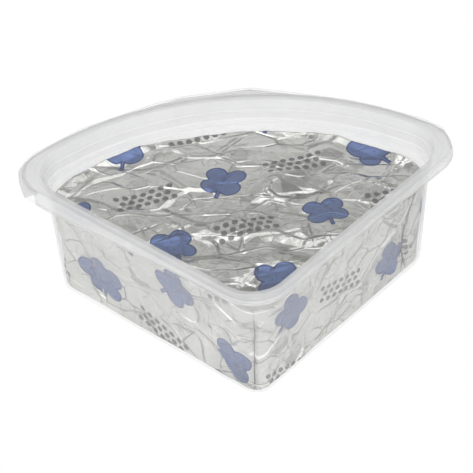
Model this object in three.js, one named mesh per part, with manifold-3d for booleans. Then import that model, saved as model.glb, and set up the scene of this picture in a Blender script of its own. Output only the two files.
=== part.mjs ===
// Quarter wedge of blue cheese wrapped in crumpled foil, packed in a translucent plastic tub
// under a thin clear film. Millimetres, +Z up, the tub standing on Z = 0.
// The wedge's point faces -Y and its round rind side faces +Y; the widest extent lies along X.
// The plan of every layer is one rounded sector: two straight sides, one arc and three fillets.
import * as THREE from 'three';
import Module from 'manifold-3d';
import { mergeVertices } from 'three/addons/utils/BufferGeometryUtils.js';

// Plan of the sector: each side leaves the middle line at this angle, and the arc's centre
// lies a little behind the point where the two sides would meet at the tub's foot.
const HALF_ANGLE = THREE.MathUtils.degToRad(43.8);
const ARC_CENTRE_Y = 7.3;

// Stations round the plan: how many points each stretch of the outline takes.
const SIDE_STATIONS = 14;
const FRONT_STATIONS = 9;
const BACK_STATIONS = 9;
const ARC_STATIONS = 32;

// Tub, outside: offset is how far the sides lie outside the foot's sides, radius is the arc's,
// front and back are the corner fillets.
const FOOT = { offset: 0.8, radius: 150.8, front: 10, back: 15.2 };
const BROW = { offset: 6.5, radius: 156.2, front: 18, back: 21.9 };
const BROW_HEIGHT = 72.5;
const FOOT_FILLET = 3;
const WALL = 0.9;

// A round is drawn with one middle ring, which lies this share of the round from both its faces.
const ROUND_BEND = 0.3;

// Two stepped bands widen the mouth below the rim.
const LOWER_STEP_HEIGHT = 67.6;
const LOWER_STEP_OUT = 0.9;
const UPPER_STEP_HEIGHT = 73.1;
const UPPER_STEP_OUT = 0.8;
const STEP_RISE = 0.7;

// Rim: a raised sealing land, a lower outer band and a skirt turned down at its edge.
const MOUTH = { offset: 8.1, radius: 159.6, front: 18.6, back: 25 };
const RIM = { offset: 14.9, radius: 167.1, front: 21.8, back: 25.6 };
const RIM_TOP = 78.5;
const LAND_WIDTH = 3.1;
const LAND_RISE = 0.6;
const RIM_EDGE_ROUND = 0.7;
const SKIRT_FLARE = 0.8;
const THROAT_OUT = 1.3;

// Depth of the skirt below the rim: it grows along the left side, is less deep round the right
// corner, and is shallow at the point, on the right side and along the arc.
const SKIRT_LEFT = 9.4;
const SKIRT_RIGHT = 5.2;
const SKIRT_SHALLOW = 2.8;
const LEFT_FADE = [2, 92];
const RIGHT_FADE = [58, 78];
const CORNER_FADE = [112, 128];

// Film: its cut edge follows the rim's arc, and its straight stretches overhang the rim on the left
// side, at the back and at the corners.
const FILM_THICKNESS = 0.3;
const FILM_LIFT = 0.3;
const FILM_EDGE = [
  [-112.4, 83.6], [-60, 33.6], [-22, -2.2], [-11, -12.4], [0, -15.4], [11, -12.4], [24, 0.4],
  [95, 77], [106, 86.6], [116.5, 98.5], [119.3, 108], [117, 125.7], [105, 137], [82.8, 151],
  [67.8, 159], [34.6, 171], [12.2, 178.3], [-28.3, 174.3], [-45.8, 168.4], [-86.4, 150],
  [-113.3, 129.8], [-118.4, 123.1], [-121.8, 115.5], [-121.8, 104.8], [-119.7, 92.4],
];

// Flange: a flat sheet in line with the rim's outer band. Towards the back it is cut together with
// the film, and at the left corner it ends in the peel tab, past a gap in the skirt.
const FLANGE_TOP = 77.8;
const FLANGE_THICKNESS = 0.6;
const FLANGE_START_Y = 106;
const TAB_EDGE = [[-121.4, 105.7], [-118.7, 92.2], [-106, 98.6]];
const TAB_GAP = { low: [-130, 95.5, 60], high: [-90, 128, 77.2] };

// Foil-wrapped wedge: it fills the tub up to its own top, a small gap inside the walls. Its top
// is drawn in towards a point on the middle line and drops a little at the edge.
const WEDGE_GAP = 0.55;
const WEDGE_TOP = 62;
const WEDGE_EDGE_ROUND = 2.6;
const WEDGE_FOOT_ROUND = 3.2;
const FLOOR_GAP = 0.3;
const WEDGE_FRONT = { low: 8.4, high: 13 };
const WEDGE_BACK = { low: 14, high: 21 };
const WEDGE_HEIGHTS = 12;
const TOP_RINGS = 17;
const MIDDLE_Y = 90.5;
const EDGE_DROP = 0.6;

// Crumple of the foil: facets and creases from a few crossing triangle waves.
const CRUMPLE_WAVES = 7;
const CRUMPLE_LENGTH = [30, 66];
const TOP_CRUMPLE = 3.6;
const SIDE_CRUMPLE = 1.2;
const CRUMPLE_LEVEL = 0.6;
const CRUMPLE_SEED = 41;

// Folds tucked into the foil: an upright one at the point, one beside the right corner and two
// slanting ones on the left side, each by the place of its foot and how far its head leans away.
const FOLD_WIDTH = 4.2;
const FOLD_DEPTH = 1.9;
const FOLDS = [
  { x: -2.4, y: 4.6, leanX: 1.4, leanY: -4, low: 2, high: 56 },
  { x: 92.9, y: 92.5, leanX: 5, leanY: 3, low: 2, high: 60 },
  { x: -81.4, y: 80.5, leanX: -14.5, leanY: 12.2, low: 4, high: 58 },
  { x: -11.4, y: 9.8, leanX: -12.3, leanY: 11.8, low: 1, high: 20 },
];

function clearMaterial(color, roughness, opacity) {
  return new THREE.MeshStandardMaterial({ color, roughness, metalness: 0, transparent: true, opacity });
}

const MATERIALS = {
  tub: clearMaterial(0xe4e6e8, 0.32, 0.45),
  lid_film: clearMaterial(0xf7f9fb, 0.06, 0.12),
  foil_wedge: new THREE.MeshStandardMaterial({ color: 0xb9bab6, roughness: 0.22, metalness: 0.95 }),
};

const wasm = await Module();
wasm.setup();

// A seeded generator of numbers from 0 to 1, so that every build gives the same folds.
function seededRandom(seed) {
  let state = seed;
  return () => {
    state = (state * 16807) % 2147483647;
    return state / 2147483647;
  };
}

function blendPlans(low, high, share) {
  const mix = (key) => THREE.MathUtils.lerp(low[key], high[key], share);
  return { offset: mix('offset'), radius: mix('radius'), front: mix('front'), back: mix('back') };
}

// The same sector moved outward by a distance, or inward where it is negative.
function growPlan(plan, distance) {
  return {
    offset: plan.offset + distance,
    radius: plan.radius + distance,
    front: plan.front + distance,
    back: plan.back + distance,
  };
}

function fillet(centre, radius, fromAngle, toAngle, count) {
  const points = [];
  for (let i = 0; i < count; i += 1) {
    const angle = THREE.MathUtils.lerp(fromAngle, toAngle, i / (count - 1));
    points.push(new THREE.Vector2(centre.x + radius * Math.cos(angle), centre.y + radius * Math.sin(angle)));
  }
  return points;
}

function straight(from, to, count) {
  const points = [];
  for (let i = 1; i <= count; i += 1) {
    points.push(new THREE.Vector2().lerpVectors(from, to, i / (count + 1)));
  }
  return points;
}

// Outline of a rounded sector, counterclockwise seen from above: down the left side, round the
// point, up the right side, round the right corner, back along the arc, round the left corner.
function sectorOutline(plan) {
  const sin = Math.sin(HALF_ANGLE);
  const cos = Math.cos(HALF_ANGLE);
  const along = new THREE.Vector2(sin, cos);
  const outward = new THREE.Vector2(cos, -sin);
  const arcCentre = new THREE.Vector2(0, ARC_CENTRE_Y);
  const frontCentre = new THREE.Vector2(0, (plan.front - plan.offset) / sin);
  const inset = outward.clone().multiplyScalar(plan.offset - plan.back);
  const reach = inset.clone().sub(arcCentre);
  const half = reach.dot(along);
  const span = plan.radius - plan.back;
  const distance = -half + Math.sqrt(half * half - reach.lengthSq() + span * span);
  const rightCentre = inset.add(along.clone().multiplyScalar(distance));
  const leftCentre = new THREE.Vector2(-rightCentre.x, rightCentre.y);
  const sideAngle = Math.atan2(outward.y, outward.x);
  const arcAngle = Math.atan2(rightCentre.y - ARC_CENTRE_Y, rightCentre.x);
  const front = fillet(frontCentre, plan.front, -Math.PI - sideAngle, sideAngle, FRONT_STATIONS);
  const right = fillet(rightCentre, plan.back, sideAngle, arcAngle, BACK_STATIONS);
  const left = fillet(leftCentre, plan.back, Math.PI - arcAngle, Math.PI - sideAngle, BACK_STATIONS);
  const arc = fillet(arcCentre, plan.radius, arcAngle, Math.PI - arcAngle, ARC_STATIONS + 2).slice(1, -1);
  return [
    ...straight(left[left.length - 1], front[0], SIDE_STATIONS),
    ...front,
    ...straight(front[front.length - 1], right[0], SIDE_STATIONS),
    ...right,
    ...arc,
    ...left,
  ];
}

function ringAt(plan, height) {
  return sectorOutline(plan).map((point) => new THREE.Vector3(point.x, point.y, height));
}

// Closed skin over a stack of rings, with a fan over the first and the last ring.
function loft(rings, firstCentre, lastCentre) {
  const count = rings[0].length;
  const positions = [];
  for (const ring of rings) {
    for (const point of ring) positions.push(point.x, point.y, point.z);
  }
  const first = rings.length * count;
  const last = first + 1;
  positions.push(firstCentre.x, firstCentre.y, firstCentre.z, lastCentre.x, lastCentre.y, lastCentre.z);
  const index = [];
  for (let level = 0; level + 1 < rings.length; level += 1) {
    for (let i = 0; i < count; i += 1) {
      const next = (i + 1) % count;
      const a = level * count + i;
      const b = level * count + next;
      index.push(a, b, b + count, a, b + count, a + count);
    }
  }
  for (let i = 0; i < count; i += 1) {
    const next = (i + 1) % count;
    index.push(first, next, i);
    index.push(last, (rings.length - 1) * count + i, (rings.length - 1) * count + next);
  }
  const geometry = new THREE.BufferGeometry();
  geometry.setAttribute('position', new THREE.Float32BufferAttribute(positions, 3));
  geometry.setIndex(index);
  return geometry;
}

function toSolid(geometry) {
  const bare = geometry.clone();
  bare.deleteAttribute('normal');
  bare.deleteAttribute('uv');
  const merged = mergeVertices(bare, 1e-4);
  return new wasm.Manifold(new wasm.Mesh({
    numProp: 3,
    vertProperties: Float32Array.from(merged.attributes.position.array),
    triVerts: Uint32Array.from(merged.index.array),
  }));
}

function toGeometry(solid) {
  const mesh = solid.getMesh();
  const geometry = new THREE.BufferGeometry();
  geometry.setAttribute('position', new THREE.BufferAttribute(Float32Array.from(mesh.vertProperties), 3));
  geometry.setIndex(new THREE.BufferAttribute(Uint32Array.from(mesh.triVerts), 1));
  return geometry;
}

function plate(edge, bottom, thickness) {
  const shape = new THREE.Shape(edge.map(([x, y]) => new THREE.Vector2(x, y)));
  const geometry = new THREE.ExtrudeGeometry(shape, { depth: thickness, bevelEnabled: false });
  geometry.translate(0, 0, bottom);
  return geometry;
}

// Outside of the tub's wall at a height, with the two stepped bands near the mouth.
function wallPlan(height) {
  let plan = blendPlans(FOOT, BROW, height / BROW_HEIGHT);
  if (height > LOWER_STEP_HEIGHT) {
    plan = growPlan(plan, LOWER_STEP_OUT * Math.min(1, (height - LOWER_STEP_HEIGHT) / STEP_RISE));
  }
  if (height > UPPER_STEP_HEIGHT) {
    plan = growPlan(plan, UPPER_STEP_OUT * Math.min(1, (height - UPPER_STEP_HEIGHT) / STEP_RISE));
  }
  return plan;
}

function skirtDepth(point) {
  const { smoothstep } = THREE.MathUtils;
  const [fade, deepest] = point.x < 0 ? [LEFT_FADE, SKIRT_LEFT] : [RIGHT_FADE, SKIRT_RIGHT];
  const rise = smoothstep(point.y, fade[0], fade[1]);
  const fall = 1 - smoothstep(point.y, CORNER_FADE[0], CORNER_FADE[1]);
  return THREE.MathUtils.lerp(SKIRT_SHALLOW, deepest, rise * fall);
}

function skirtRing(plan) {
  return ringAt(plan, RIM_TOP).map((point) => point.setZ(RIM_TOP - skirtDepth(point)));
}

function outerWallRing(height) {
  return ringAt(wallPlan(height), height);
}

function innerWallRing(height) {
  return ringAt(growPlan(wallPlan(height), -WALL), height + WALL / 2);
}

// Tub: the skin runs up the outside, under the rim, round the skirt, over the sealing land,
// down the inside and across the floor.
function tubShell() {
  const underRim = RIM_TOP - LAND_RISE - WALL;
  const landEnd = growPlan(MOUTH, LAND_WIDTH);
  const rings = [
    ringAt(growPlan(FOOT, -FOOT_FILLET), 0),
    ringAt(growPlan(FOOT, -ROUND_BEND * FOOT_FILLET), ROUND_BEND * FOOT_FILLET),
    outerWallRing(FOOT_FILLET),
    outerWallRing(LOWER_STEP_HEIGHT),
    outerWallRing(LOWER_STEP_HEIGHT + STEP_RISE),
    outerWallRing(UPPER_STEP_HEIGHT),
    outerWallRing(UPPER_STEP_HEIGHT + STEP_RISE),
    ringAt(growPlan(MOUTH, THROAT_OUT), underRim),
    ringAt(growPlan(RIM, -WALL), underRim),
    skirtRing(growPlan(RIM, SKIRT_FLARE - WALL)),
    skirtRing(growPlan(RIM, SKIRT_FLARE)),
    ringAt(RIM, RIM_TOP - LAND_RISE - RIM_EDGE_ROUND),
    ringAt(growPlan(RIM, -RIM_EDGE_ROUND), RIM_TOP - LAND_RISE),
    ringAt(growPlan(landEnd, LAND_RISE), RIM_TOP - LAND_RISE),
    ringAt(landEnd, RIM_TOP),
    ringAt(growPlan(MOUTH, RIM_EDGE_ROUND), RIM_TOP),
    ringAt(MOUTH, RIM_TOP - RIM_EDGE_ROUND),
    innerWallRing(UPPER_STEP_HEIGHT + STEP_RISE),
    innerWallRing(UPPER_STEP_HEIGHT),
    innerWallRing(LOWER_STEP_HEIGHT + STEP_RISE),
    innerWallRing(LOWER_STEP_HEIGHT),
    innerWallRing(FOOT_FILLET),
    ringAt(growPlan(FOOT, -ROUND_BEND * FOOT_FILLET - WALL), ROUND_BEND * FOOT_FILLET + WALL / 2),
    ringAt(growPlan(FOOT, -FOOT_FILLET - WALL / 2), WALL),
  ];
  const middle = FOOT.radius / 2;
  return loft(rings, new THREE.Vector3(0, middle, 0), new THREE.Vector3(0, middle, WALL));
}

// Everything that lies over or under a plan, up past the rim.
function column(plan) {
  const edge = sectorOutline(plan).map((point) => [point.x, point.y]);
  return toSolid(plate(edge, 0, 2 * RIM_TOP));
}

// The stretch of skirt that is cut away at the left corner: a box less all that lies within
// the skirt's inner face, so that the wall behind it stays whole.
function skirtGap() {
  const low = new THREE.Vector3(...TAB_GAP.low);
  const high = new THREE.Vector3(...TAB_GAP.high);
  const size = high.clone().sub(low);
  const place = low.add(high).multiplyScalar(0.5);
  const box = new THREE.BoxGeometry(size.x, size.y, size.z).translate(place.x, place.y, place.z);
  return toSolid(box).subtract(column(growPlan(RIM, -WALL)));
}

// Flange and peel tab, less what would lie inside the sealing land.
function flange() {
  const edge = [...FILM_EDGE.filter(([, y]) => y > FLANGE_START_Y), ...TAB_EDGE];
  const sheet = toSolid(plate(edge, FLANGE_TOP - FLANGE_THICKNESS, FLANGE_THICKNESS));
  return sheet.subtract(column(growPlan(MOUTH, LAND_WIDTH)));
}

function tubGeometry() {
  return toGeometry(toSolid(tubShell()).subtract(skirtGap()).add(flange()));
}

// Crumple height at a place on the foil: each wave is a ridge line repeated across the sheet,
// and their sum is a sheet of flat facets that meet in creases. The result runs from -1 to 1.
function crumpleWaves(seed) {
  const random = seededRandom(seed);
  const waves = [];
  for (let i = 0; i < CRUMPLE_WAVES; i += 1) {
    const angle = Math.PI * (i + random()) / CRUMPLE_WAVES;
    waves.push({
      x: Math.cos(angle),
      y: Math.sin(angle),
      length: THREE.MathUtils.lerp(CRUMPLE_LENGTH[0], CRUMPLE_LENGTH[1], random()),
      phase: random(),
    });
  }
  return (x, y) => {
    let sum = 0;
    for (const wave of waves) {
      const turns = (x * wave.x + y * wave.y) / wave.length + wave.phase;
      sum += 1 - 4 * Math.abs(turns - Math.round(turns));
    }
    return sum / Math.sqrt(CRUMPLE_WAVES);
  };
}

function foldDepth(point, height) {
  let depth = 0;
  for (const fold of FOLDS) {
    const rise = THREE.MathUtils.clamp((height - fold.low) / (fold.high - fold.low), 0, 1);
    const across = Math.hypot(point.x - fold.x - fold.leanX * rise, point.y - fold.y - fold.leanY * rise);
    const fade = Math.sqrt(Math.sin(Math.PI * rise));
    depth = Math.max(depth, fade * FOLD_DEPTH * Math.max(0, 1 - across / (2 * FOLD_WIDTH)));
  }
  return depth;
}

// Plan of the wedge at a height, just inside the tub's wall.
function wedgePlan(height) {
  const inner = growPlan(blendPlans(FOOT, BROW, height / BROW_HEIGHT), -WALL - WEDGE_GAP);
  const share = height / WEDGE_TOP;
  inner.front = THREE.MathUtils.lerp(WEDGE_FRONT.low, WEDGE_FRONT.high, share);
  inner.back = THREE.MathUtils.lerp(WEDGE_BACK.low, WEDGE_BACK.high, share);
  return inner;
}

// A ring of the wedge's side, pressed inward by crumple and folds.
function wedgeSideRing(height, squeeze, crumple) {
  const outline = sectorOutline(growPlan(wedgePlan(height), -squeeze));
  const centre = new THREE.Vector2(0, MIDDLE_Y);
  let travelled = 0;
  return outline.map((point, i) => {
    travelled += i > 0 ? point.distanceTo(outline[i - 1]) : 0;
    const inward = SIDE_CRUMPLE * (1 + crumple(travelled, height)) / 2 + foldDepth(point, height);
    const step = centre.clone().sub(point).setLength(Math.max(0, inward));
    return new THREE.Vector3(point.x + step.x, point.y + step.y, height);
  });
}

function topLift(x, y, crumple) {
  return TOP_CRUMPLE * (crumple(x, y) - CRUMPLE_LEVEL) / 2;
}

// The top: the upper side ring drawn in towards the middle, lifted and sunk by the crumple.
function wedgeTopRing(edge, share, crumple) {
  const centre = new THREE.Vector2(0, MIDDLE_Y);
  return edge.map((point) => {
    const x = THREE.MathUtils.lerp(point.x, centre.x, share);
    const y = THREE.MathUtils.lerp(point.y, centre.y, share);
    const settle = Math.min(1, share * TOP_RINGS / 2);
    const lift = topLift(x, y, crumple);
    return new THREE.Vector3(x, y, WEDGE_TOP - (1 - settle) * EDGE_DROP + settle * lift);
  });
}

function wedgeGeometry() {
  const sideCrumple = crumpleWaves(CRUMPLE_SEED);
  const topCrumple = crumpleWaves(CRUMPLE_SEED + 1);
  const bottom = WALL + FLOOR_GAP;
  const foot = wedgePlan(bottom);
  const footBend = ROUND_BEND * WEDGE_FOOT_ROUND;
  const rings = [
    ringAt(growPlan(foot, -WEDGE_FOOT_ROUND), bottom),
    ringAt(growPlan(foot, -footBend), bottom + footBend),
  ];
  const sideLow = bottom + WEDGE_FOOT_ROUND;
  const sideHigh = WEDGE_TOP - WEDGE_EDGE_ROUND;
  for (let i = 0; i < WEDGE_HEIGHTS; i += 1) {
    const height = THREE.MathUtils.lerp(sideLow, sideHigh, i / (WEDGE_HEIGHTS - 1));
    rings.push(wedgeSideRing(height, 0, sideCrumple));
  }
  const edgeBend = ROUND_BEND * WEDGE_EDGE_ROUND;
  rings.push(wedgeSideRing(WEDGE_TOP - edgeBend, edgeBend, sideCrumple));
  const edge = wedgeSideRing(WEDGE_TOP, WEDGE_EDGE_ROUND, sideCrumple);
  for (let i = 0; i < TOP_RINGS; i += 1) {
    rings.push(wedgeTopRing(edge, i / TOP_RINGS, topCrumple));
  }
  const underside = new THREE.Vector3(0, MIDDLE_Y, bottom);
  const summit = new THREE.Vector3(0, MIDDLE_Y, WEDGE_TOP + topLift(0, MIDDLE_Y, topCrumple));
  return loft(rings, underside, summit);
}

function addPiece(group, name, geometry) {
  const flat = geometry.index ? geometry.toNonIndexed() : geometry;
  flat.computeVertexNormals();
  const mesh = new THREE.Mesh(flat, MATERIALS[name]);
  mesh.name = name;
  group.add(mesh);
}

const pack = new THREE.Group();
addPiece(pack, 'tub', tubGeometry());
addPiece(pack, 'foil_wedge', wedgeGeometry());
addPiece(pack, 'lid_film', plate(FILM_EDGE, RIM_TOP + FILM_LIFT, FILM_THICKNESS));

// The origin lies under the middle of the whole pack, on the surface that it stands on.
const middle = new THREE.Box3().setFromObject(pack).getCenter(new THREE.Vector3());
for (const mesh of pack.children) mesh.position.set(-middle.x, -middle.y, 0);
pack.updateMatrixWorld(true);

export default pack;
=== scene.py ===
"""Foil-wrapped wedge of blue cheese in a translucent tub under a clear film, dressed over its CAD frame.

Metres, +Z up. The wedge's point faces -Y and its round rind side faces +Y. Every layer of the pack has
the same kind of plan, a rounded sector, and every surface is a stack of such outlines.
"""

import math

import bpy
import numpy as np
from bpy.props import FloatProperty, FloatVectorProperty, IntProperty, PointerProperty
from mathutils import Matrix, Vector


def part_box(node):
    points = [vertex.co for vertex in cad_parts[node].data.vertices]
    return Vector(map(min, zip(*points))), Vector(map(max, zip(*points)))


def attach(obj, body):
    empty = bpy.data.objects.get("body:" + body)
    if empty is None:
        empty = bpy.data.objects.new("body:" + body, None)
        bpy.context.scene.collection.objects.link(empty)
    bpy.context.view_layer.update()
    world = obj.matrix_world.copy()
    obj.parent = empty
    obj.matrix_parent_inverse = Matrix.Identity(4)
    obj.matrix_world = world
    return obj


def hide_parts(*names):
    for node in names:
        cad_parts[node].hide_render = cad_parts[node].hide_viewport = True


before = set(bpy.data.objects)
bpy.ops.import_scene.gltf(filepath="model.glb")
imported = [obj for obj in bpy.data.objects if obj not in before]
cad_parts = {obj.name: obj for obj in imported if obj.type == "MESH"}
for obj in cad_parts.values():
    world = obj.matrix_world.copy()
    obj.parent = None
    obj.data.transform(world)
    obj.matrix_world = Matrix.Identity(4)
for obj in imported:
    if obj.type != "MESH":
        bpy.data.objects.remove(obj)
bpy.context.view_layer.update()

bl_info = {
    "name": "Foil-wrapped cheese wedge",
    "version": (1, 0, 0),
    "blender": (4, 5, 0),
    "location": "3D View > Sidebar > Cheese",
    "description": "Builds a wedge of blue cheese in printed foil, in a clear tub under a film",
    "category": "Add Mesh",
}

TUB_BOX = [np.array(corner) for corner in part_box("tub")]
FOIL_BOX = [np.array(corner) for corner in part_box("foil_wedge")]
FILM_BOX = [np.array(corner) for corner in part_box("lid_film")]
MM = 0.001


def length(label, about, value):
    """A property that holds one length."""
    return FloatProperty(name=label, description=about, default=value, subtype="DISTANCE", unit="LENGTH")


def plan(label, about, offset, radius, front, back):
    """A property that holds a rounded sector: side offset, arc radius, front fillet and back fillet."""
    words = about + ": side offset, arc radius, point fillet, corner fillet"
    return FloatVectorProperty(name=label, description=words, size=4, default=(offset, radius, front, back),
                               subtype="NONE", unit="LENGTH", precision=4)


def colour(label, about, red, green, blue):
    """A property that holds one colour."""
    return FloatVectorProperty(name=label, description=about, size=3, default=(red, green, blue),
                               subtype="COLOR", min=0.0, max=1.0)


def share_of(label, about, value):
    """A property that holds a share from 0 to 1."""
    return FloatProperty(name=label, description=about, default=value, min=0.0, max=1.0, subtype="FACTOR")


class PackSector(bpy.types.PropertyGroup):
    """Plan that the layers share."""

    half_angle: FloatProperty(name="Half angle", description="Angle from the middle line to a straight side",
                              default=math.radians(43.8), subtype="ANGLE", unit="ROTATION")
    arc_centre: length("Arc centre", "Distance from the meeting of the sides to the arc's centre", 7.3 * MM)


class TubSettings(bpy.types.PropertyGroup):
    """Sizes and colour of the thermoformed tub."""

    foot: plan("Foot", "Outside of the wall at the floor", 0.8 * MM, 150.8 * MM, 10 * MM, 15.2 * MM)
    brow: plan("Brow", "Outside of the wall at brow height", 6.5 * MM, 156.2 * MM, 18 * MM, 21.9 * MM)
    mouth: plan("Mouth", "Inner edge of the rim", 8.1 * MM, 159.6 * MM, 18.6 * MM, 25 * MM)
    rim: plan("Rim", "Outer edge of the rim", 14.9 * MM, 167.1 * MM, 21.8 * MM, 25.6 * MM)
    brow_height: length("Brow height", "Height at which the wall has the brow's plan", 72.5 * MM)
    wall: length("Wall", "Thickness of the plastic", 0.9 * MM)
    foot_fillet: length("Foot fillet", "Round between floor and wall", 3 * MM)
    lower_step: length("Lower step", "Height of the lower widening band", 67.6 * MM)
    upper_step: length("Upper step", "Height of the upper widening band", 73.1 * MM)
    step_out: length("Step out", "How far each band widens the wall", 0.85 * MM)
    step_rise: length("Step rise", "Height over which a band widens", 0.7 * MM)
    rim_top: length("Rim top", "Height of the sealing land", 78.5 * MM)
    land_width: length("Land width", "Width of the raised sealing land", 3.1 * MM)
    land_rise: length("Land rise", "Height of the land above the outer band", 0.6 * MM)
    edge_round: length("Edge round", "Round at the rim's edges", 0.7 * MM)
    skirt_flare: length("Skirt flare", "How far the skirt spreads below the rim", 0.8 * MM)
    skirt_left: length("Skirt, left side", "Depth of the skirt at the left corner", 9.4 * MM)
    skirt_right: length("Skirt, right corner", "Depth of the skirt round the right corner", 5.2 * MM)
    skirt_shallow: length("Skirt, elsewhere", "Depth of the skirt at the point and along the arc", 2.8 * MM)
    plastic: colour("Plastic", "Colour of the drawn wall's plastic", 0.9, 0.901, 0.903)
    rim_plastic: colour("Rim plastic", "Colour of the thicker rim's plastic", 0.848, 0.85, 0.852)
    wall_haze: share_of("Wall haze", "Share of light that one face of the drawn wall scatters", 0.2)
    rim_haze: share_of("Rim haze", "Share of light that one face of the thicker rim scatters", 0.48)


class FoilSettings(bpy.types.PropertyGroup):
    """Sizes, crumple and colours of the wrapped wedge."""

    gap: length("Gap", "Clearance between the foil and the tub's wall", 0.55 * MM)
    top: length("Top", "Height of the wedge's top face", 62 * MM)
    edge_round: length("Edge round", "Round along the top edge", 1.4 * MM)
    foot_round: length("Foot round", "Round along the bottom edge", 1.6 * MM)
    front_low: length("Point fillet, low", "Fillet of the wedge's point at the floor", 8.4 * MM)
    front_high: length("Point fillet, high", "Fillet of the wedge's point at the top", 13 * MM)
    back_low: length("Corner fillet, low", "Fillet of the rind corners at the floor", 14 * MM)
    back_high: length("Corner fillet, high", "Fillet of the rind corners at the top", 21 * MM)
    top_crumple: length("Top crumple", "Height of the broad crumple on the top face", 3.6 * MM)
    side_crumple: length("Side crumple", "Depth of the broad crumple on the sides", 1.2 * MM)
    fold_depth: length("Fold depth", "Depth of the tucked folds in the sides", 1.9 * MM)
    seed: IntProperty(name="Crumple seed", description="Start of the draws for the creases", default=41)
    metal: colour("Foil", "Bare metal of the foil", 0.865, 0.865, 0.83)
    # Painted shade: the colour that the crease lines and the folds' slits and flaps are darkened towards.
    painted_shade: colour("Fold shade", "Colour deep in the folds", 0.02, 0.02, 0.02)
    blue_ink: colour("Blue ink", "Ink of the leaf motifs", 0.12, 0.185, 0.41)
    blue_edge: colour("Blue edge", "Ink of the line round the motifs", 0.045, 0.08, 0.24)
    grey_ink: colour("Grey ink", "Ink of the small discs", 0.2, 0.2, 0.2)
    # Share of painted shade on the fine crease lines.
    crease_shade: share_of("Crease shade", "How much the fine creases darken the foil", 0.22)


class FilmSettings(bpy.types.PropertyGroup):
    """Shape and colour of the film."""

    slack: length("Slack", "Height of the film's soft waves over the mouth", 0.35 * MM)
    tint: colour("Tint", "Colour of the light that the film scatters", 0.86, 0.87, 0.885)
    veil: share_of("Veil", "Share of light that one face of the film scatters", 0.05)


class StudioSettings(bpy.types.PropertyGroup):
    """Camera and light."""

    azimuth: FloatProperty(name="Azimuth", description="Camera's turn about the pack",
                           default=math.radians(-2.96), subtype="ANGLE", unit="ROTATION")
    elevation: FloatProperty(name="Elevation", description="Camera's height over the pack as an angle",
                             default=math.radians(38.54), subtype="ANGLE", unit="ROTATION")
    roll: FloatProperty(name="Roll", description="Camera's roll", default=math.radians(-2.5),
                        subtype="ANGLE", unit="ROTATION")
    distance: length("Distance", "From the camera to its aim", 1.4355)
    aim: FloatVectorProperty(name="Aim", description="Point in the middle of the picture", size=3,
                             default=(-0.00231, 0.02216, 0.030), subtype="TRANSLATION", unit="LENGTH")
    lens: FloatProperty(name="Lens", description="Focal length on a 36 mm sensor", default=193.8,
                        unit="CAMERA")
    surround: colour("Surround", "Light of the room behind the pack", 0.46, 0.46, 0.45)


# Points along each run of an outline.
SIDES = {"side": 150, "point": 26, "corner": 42, "arc": 150}


def sweep(centre, radius, start, end, count):
    """Points at even angles on a circle, one circle for each row, and their outward directions."""
    share = np.linspace(0.0, 1.0, count)
    angle = start + (end - start) * share
    direction = np.stack([np.cos(angle), np.sin(angle)], axis=-1)
    return centre[:, None, :] + radius[:, :, None] * direction, direction


def between(first, last, direction, count):
    """Even points strictly between two points of each row, which all share one outward direction."""
    share = (np.arange(1, count + 1) / (count + 1))[None, :, None]
    points = first[:, None, :] * (1.0 - share) + last[:, None, :] * share
    return points, np.broadcast_to(direction, points.shape)


def sector(plans, counts=SIDES):
    """Rounded sectors, one for each row of plans, and their outward directions.

    Each side is a straight line at the half angle from +Y, moved outward by the offset. A circle of the
    point fillet touches both. The arc has its own centre, and a circle of the corner fillet touches the
    side and the arc from inside: its centre lies on the side's parallel at fillet depth, at arc radius
    less fillet from the arc's centre. The outline runs counterclockwise from the middle of the arc.
    """
    shape = bpy.context.scene.pack_sector
    plans = np.atleast_2d(np.asarray(plans, dtype=float))
    offset, radius, front, back = (plans[:, k:k + 1] for k in range(4))
    half = shape.half_angle
    along = np.array([math.sin(half), math.cos(half)])
    outward = np.array([math.cos(half), -math.sin(half)])
    arc_centre = np.array([0.0, shape.arc_centre]) * np.ones_like(offset)
    point_centre = np.concatenate([0.0 * offset, (front - offset) / math.sin(half)], axis=1)
    inset = outward * (offset - back)
    reach = inset - arc_centre
    ahead = reach @ along[:, None]
    walk = -ahead + np.sqrt(ahead ** 2 - np.sum(reach ** 2, axis=1, keepdims=True) + (radius - back) ** 2)
    right_centre = inset + walk * along
    left_centre = right_centre * np.array([-1.0, 1.0])
    turn = np.arctan2(right_centre[:, 1:] - shape.arc_centre, right_centre[:, :1])
    quarter = math.pi / 2
    left_arc = sweep(arc_centre, radius, quarter + 0.0 * turn, math.pi - turn, counts["arc"] // 2)
    left = sweep(left_centre, back, math.pi - turn, math.pi + half + 0.0 * turn, counts["corner"])
    point = sweep(point_centre, front, half - math.pi + 0.0 * turn, -half + 0.0 * turn, counts["point"])
    right = sweep(right_centre, back, -half + 0.0 * turn, turn, counts["corner"])
    right_arc = sweep(arc_centre, radius, turn, quarter + 0.0 * turn, counts["arc"] // 2)
    mirrored = outward * np.array([-1.0, 1.0])
    left_side = between(left[0][:, -1], point[0][:, 0], mirrored, counts["side"])
    right_side = between(point[0][:, -1], right[0][:, 0], outward, counts["side"])
    runs = [left_arc, (left[0][:, 1:], left[1][:, 1:]), left_side, point, right_side, right,
            (right_arc[0][:, 1:-1], right_arc[1][:, 1:-1])]
    return np.concatenate([run[0] for run in runs], axis=1), np.concatenate([run[1] for run in runs], axis=1)


def travelled(outlines):
    """Distance along each outline from its first point to each point, in a row for each outline."""
    steps = np.linalg.norm(np.diff(outlines, axis=1), axis=2)
    return np.concatenate([np.zeros((len(outlines), 1)), np.cumsum(steps, axis=1)], axis=1)


def smooth(value, low, high):
    """0 below low, 1 above high, and an S curve between."""
    share = np.clip((np.asarray(value) - low) / (high - low), 0.0, 1.0)
    return share * share * (3.0 - 2.0 * share)


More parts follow.
